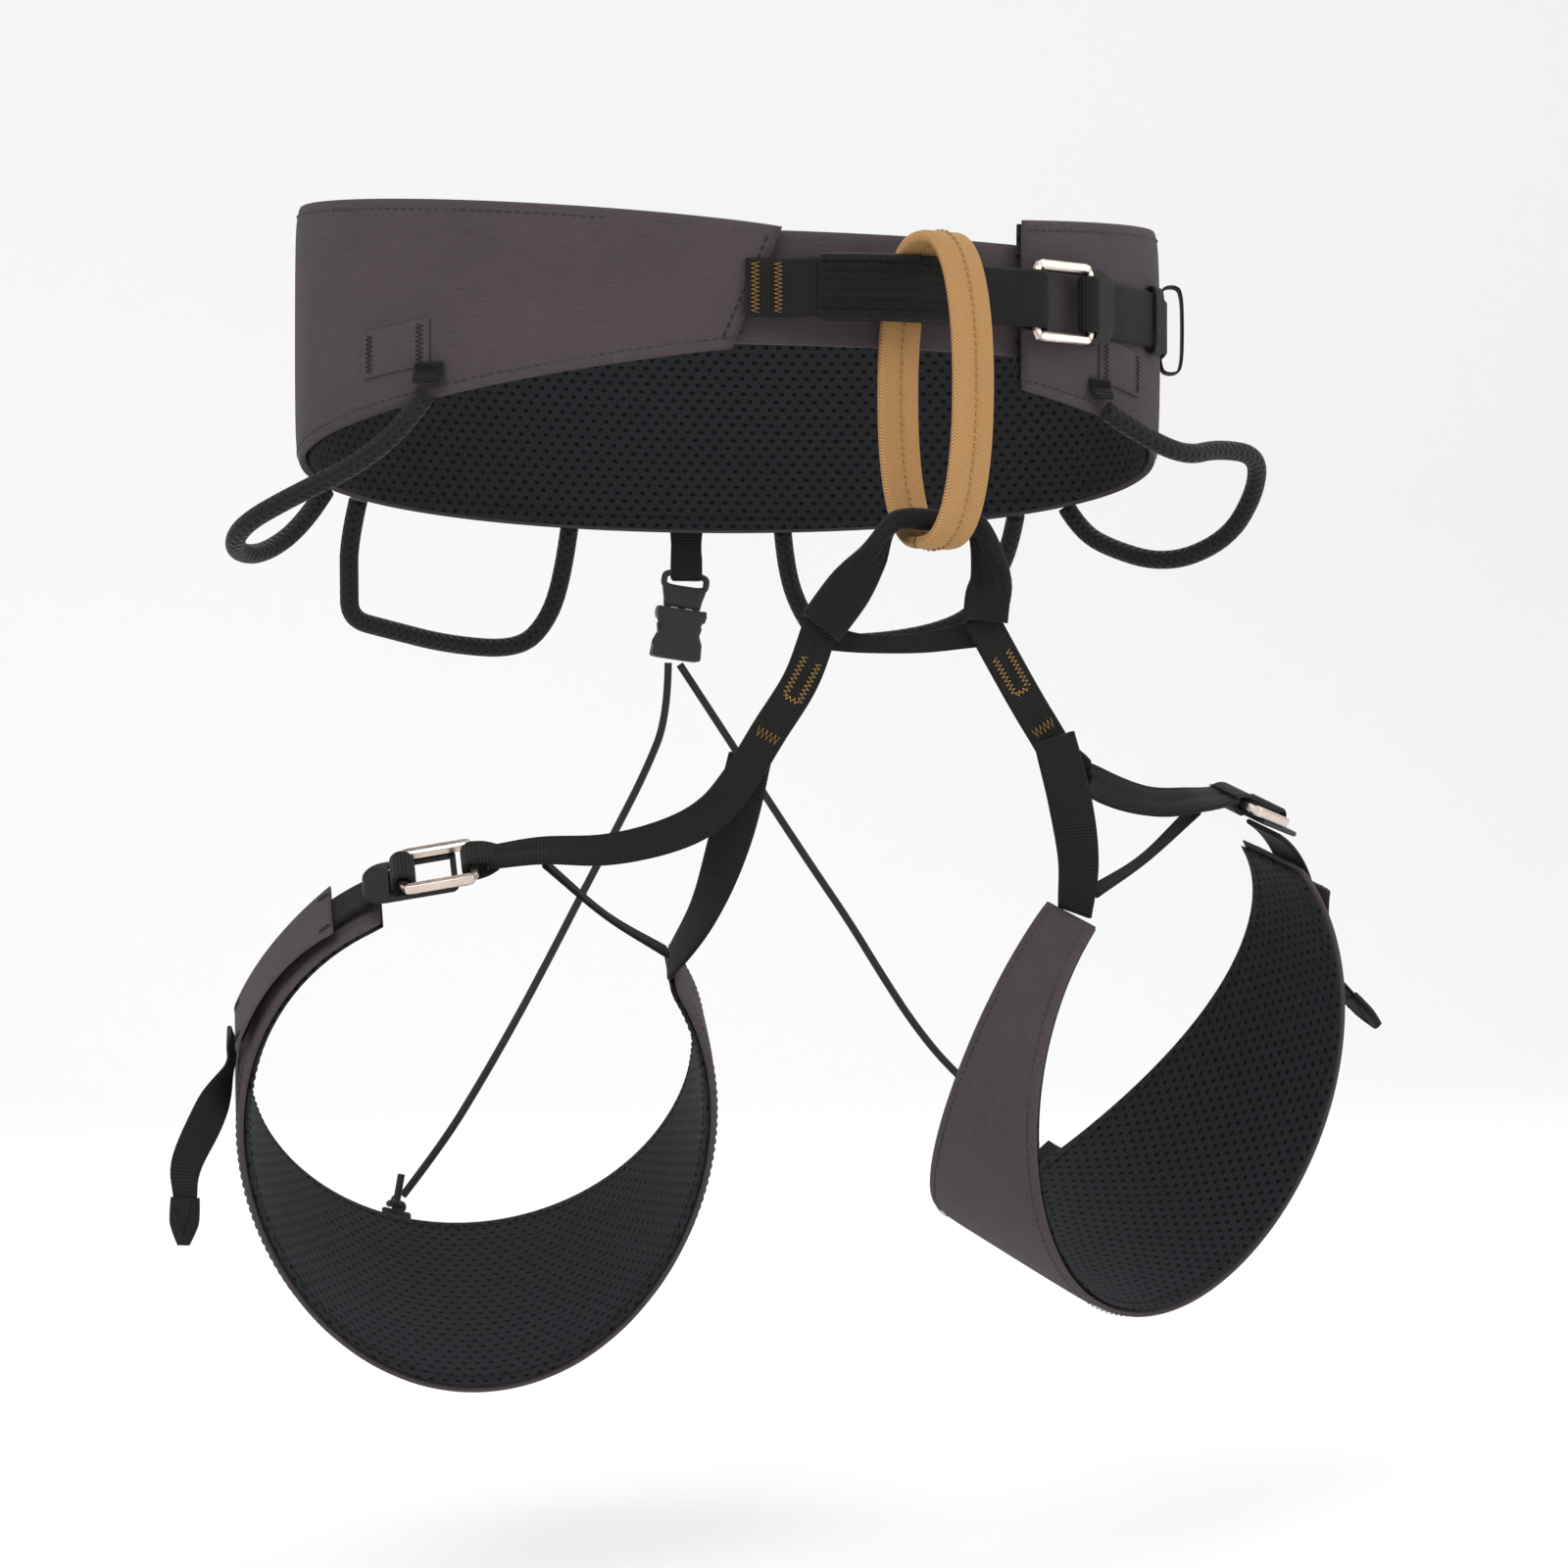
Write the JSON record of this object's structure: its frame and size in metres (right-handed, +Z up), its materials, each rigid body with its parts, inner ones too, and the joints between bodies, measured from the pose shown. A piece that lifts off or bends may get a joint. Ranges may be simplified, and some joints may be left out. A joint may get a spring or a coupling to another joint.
{
  "type": "climbing harness",
  "caption": "Climbing harness with padded waist belt, belay loop, adjustable leg loops, buckles and gear loops.",
  "frame": {"origin": "centre of the waist opening at mid-height of the waist webbing", "axes": "+Z up, -Y towards the wearer's front, +X towards the wearer's left"},
  "size_m": [0.453, 0.237, 0.4248],
  "materials": {
    "belt_fabric": "woven, matte",
    "mesh_lining": "perforated spacer mesh",
    "foam": "closed-cell foam",
    "black_webbing": "woven webbing",
    "gold_webbing": "twill webbing",
    "gold_thread": "bar-tack stitching",
    "champagne_metal": "anodised, satin",
    "black_metal": "anodised, satin",
    "black_plastic": "moulded",
    "loop_sheath": "braided sheath over a stiff core",
    "elastic": "elastic"
  },
  "bodies": {
    "root": {"belt_liner": "mesh_lining", "belt_foam": "foam", "belt_shell": "belt_fabric", "front_tongue": "belt_fabric", "hip_patches": "belt_fabric", "waist_webbing": "black_webbing", "tie_in_sleeve": "black_webbing", "waist_bar_tacks": "gold_thread", "waist_tail_webbing": "black_webbing", "waist_keeper": "elastic", "waist_end_keeper": "elastic", "waist_buckle_plate": "black_metal", "leg_bridge": "black_webbing", "cross_strap": "black_webbing", "gear_loop_anchors": "black_webbing", "riser_strap": "black_webbing", "rear_buckle_socket": "black_plastic"},
    "belay_loop": {"belay_loop": "gold_webbing"},
    "right_front_gear_loop": {"right_front_gear_loop": "loop_sheath"},
    "left_front_gear_loop": {"left_front_gear_loop": "loop_sheath"},
    "right_rear_gear_loop": {"right_rear_gear_loop": "loop_sheath"},
    "left_rear_gear_loop": {"left_rear_gear_loop": "loop_sheath"},
    "waist_buckle": {"waist_buckle_frame": "champagne_metal", "waist_adjuster_wrap": "black_webbing"},
    "right_leg": {"right_pad_liner": "mesh_lining", "right_pad_shell": "belt_fabric", "right_leg_buckle_plate": "black_metal", "right_adjusting_webbing": "black_webbing", "right_garage_sleeve": "belt_fabric", "right_leg_strap": "black_webbing", "right_riser_webbing": "black_webbing", "right_strap_bar_tacks": "gold_thread", "right_elastic_keeper": "elastic", "right_riser_tab": "black_webbing", "right_riser_cord": "elastic", "right_riser_knot": "elastic"},
    "right_leg_buckle": {"right_leg_buckle_frame": "champagne_metal", "right_leg_adjuster_wrap": "black_webbing"},
    "right_tail": {"right_tail_webbing": "black_webbing", "right_tail_tip": "black_webbing"},
    "left_leg": {"left_pad_liner": "mesh_lining", "left_pad_shell": "belt_fabric", "left_leg_buckle_plate": "black_metal", "left_adjusting_webbing": "black_webbing", "left_garage_sleeve": "belt_fabric", "left_leg_strap": "black_webbing", "left_riser_webbing": "black_webbing", "left_strap_bar_tacks": "gold_thread", "left_elastic_keeper": "elastic", "left_riser_tab": "black_webbing", "left_riser_cord": "elastic", "left_riser_knot": "elastic"},
    "left_leg_buckle": {"left_leg_buckle_frame": "champagne_metal", "left_leg_adjuster_wrap": "black_webbing"},
    "left_tail": {"left_tail_webbing": "black_webbing", "left_tail_tip": "black_webbing"},
    "rear_buckle": {"rear_buckle_male": "black_plastic"}
  },
  "joints": [
    {"name": "belay_swing", "type": "hinge", "parent": "root", "child": "belay_loop", "pos_m": [0.04941, -0.10021, 0], "axis": [0.9846, 0.1748, 0], "range_deg": [-2.5, 2.5]},
    {"name": "right_front_gear_swing", "type": "hinge", "parent": "root", "child": "right_front_gear_loop", "pos_m": [-0.13188, -0.01013, -0.04758], "axis": [-0.2124, 0.953, -0.216], "range_deg": [-8, 20], "stiffness_Nm_per_rad": 0.06, "springref_deg": 0.45},
    {"name": "left_front_gear_swing", "type": "hinge", "parent": "root", "child": "left_front_gear_loop", "pos_m": [0.12984, -0.00794, -0.04799], "axis": [-0.1707, -0.9613, 0.2163], "range_deg": [-8, 20], "stiffness_Nm_per_rad": 0.06, "springref_deg": 0.7},
    {"name": "right_rear_gear_swing", "type": "hinge", "parent": "root", "child": "right_rear_gear_loop", "pos_m": [-0.08828, 0.0735, -0.06521], "axis": [0.9236, 0.3773, -0.0681], "range_deg": [-6, 20], "stiffness_Nm_per_rad": 0.06, "springref_deg": 0.15},
    {"name": "left_rear_gear_swing", "type": "hinge", "parent": "root", "child": "left_rear_gear_loop", "pos_m": [0.08084, 0.07669, -0.06579], "axis": [0.9398, -0.3363, 0.0605], "range_deg": [-6, 20], "stiffness_Nm_per_rad": 0.06, "springref_deg": 0.16},
    {"name": "waist_buckle_tilt", "type": "hinge", "parent": "root", "child": "waist_buckle", "pos_m": [0.08902, -0.08346, 0], "axis": [0, 0, -1], "range_deg": [0, 20], "stiffness_Nm_per_rad": 0.04, "springref_deg": -11.46},
    {"name": "right_leg_swing", "type": "hinge", "parent": "root", "child": "right_leg", "pos_m": [0.0076, -0.105, -0.1146], "axis": [-0.0754, 0.9968, -0.0279], "range_deg": [-6, 20], "stiffness_Nm_per_rad": 0.6, "springref_deg": 4.22},
    {"name": "right_leg_buckle_tilt", "type": "hinge", "parent": "right_leg", "child": "right_leg_buckle", "pos_m": [-0.10531, -0.07623, -0.19267], "axis": [0.0513, 0.847, 0.5292], "range_deg": [0, 20], "stiffness_Nm_per_rad": 0.04, "springref_deg": -11.46},
    {"name": "right_tail_swing", "type": "hinge", "parent": "right_leg", "child": "right_tail", "pos_m": [-0.17935, -0.0297, -0.25091], "axis": [0.0513, 0.847, 0.5292], "range_deg": [-4, 25], "stiffness_Nm_per_rad": 0.02},
    {"name": "left_leg_swing", "type": "hinge", "parent": "root", "child": "left_leg", "pos_m": [0.0645, -0.105, -0.112], "axis": [0.3229, -0.9455, 0.0421], "range_deg": [-6, 20], "stiffness_Nm_per_rad": 0.6, "springref_deg": 4.59},
    {"name": "left_leg_buckle_tilt", "type": "hinge", "parent": "left_leg", "child": "left_leg_buckle", "pos_m": [0.1704, -0.05508, -0.17233], "axis": [0.5655, -0.7314, -0.3812], "range_deg": [0, 20], "stiffness_Nm_per_rad": 0.04, "springref_deg": -11.46},
    {"name": "left_tail_swing", "type": "hinge", "parent": "left_leg", "child": "left_tail", "pos_m": [0.21908, 0.00686, -0.2322], "axis": [-0.5655, 0.7314, 0.3812], "range_deg": [-20, 4], "stiffness_Nm_per_rad": 0.02},
    {"name": "rear_buckle_slide", "type": "slide", "parent": "root", "child": "rear_buckle", "axis": [0.1392, 0, 0.9903], "range_m": [0, 0.012], "stiffness_N_per_m": 20, "springref_m": -0.004, "deforming": ["riser_strap"]}
  ]
}
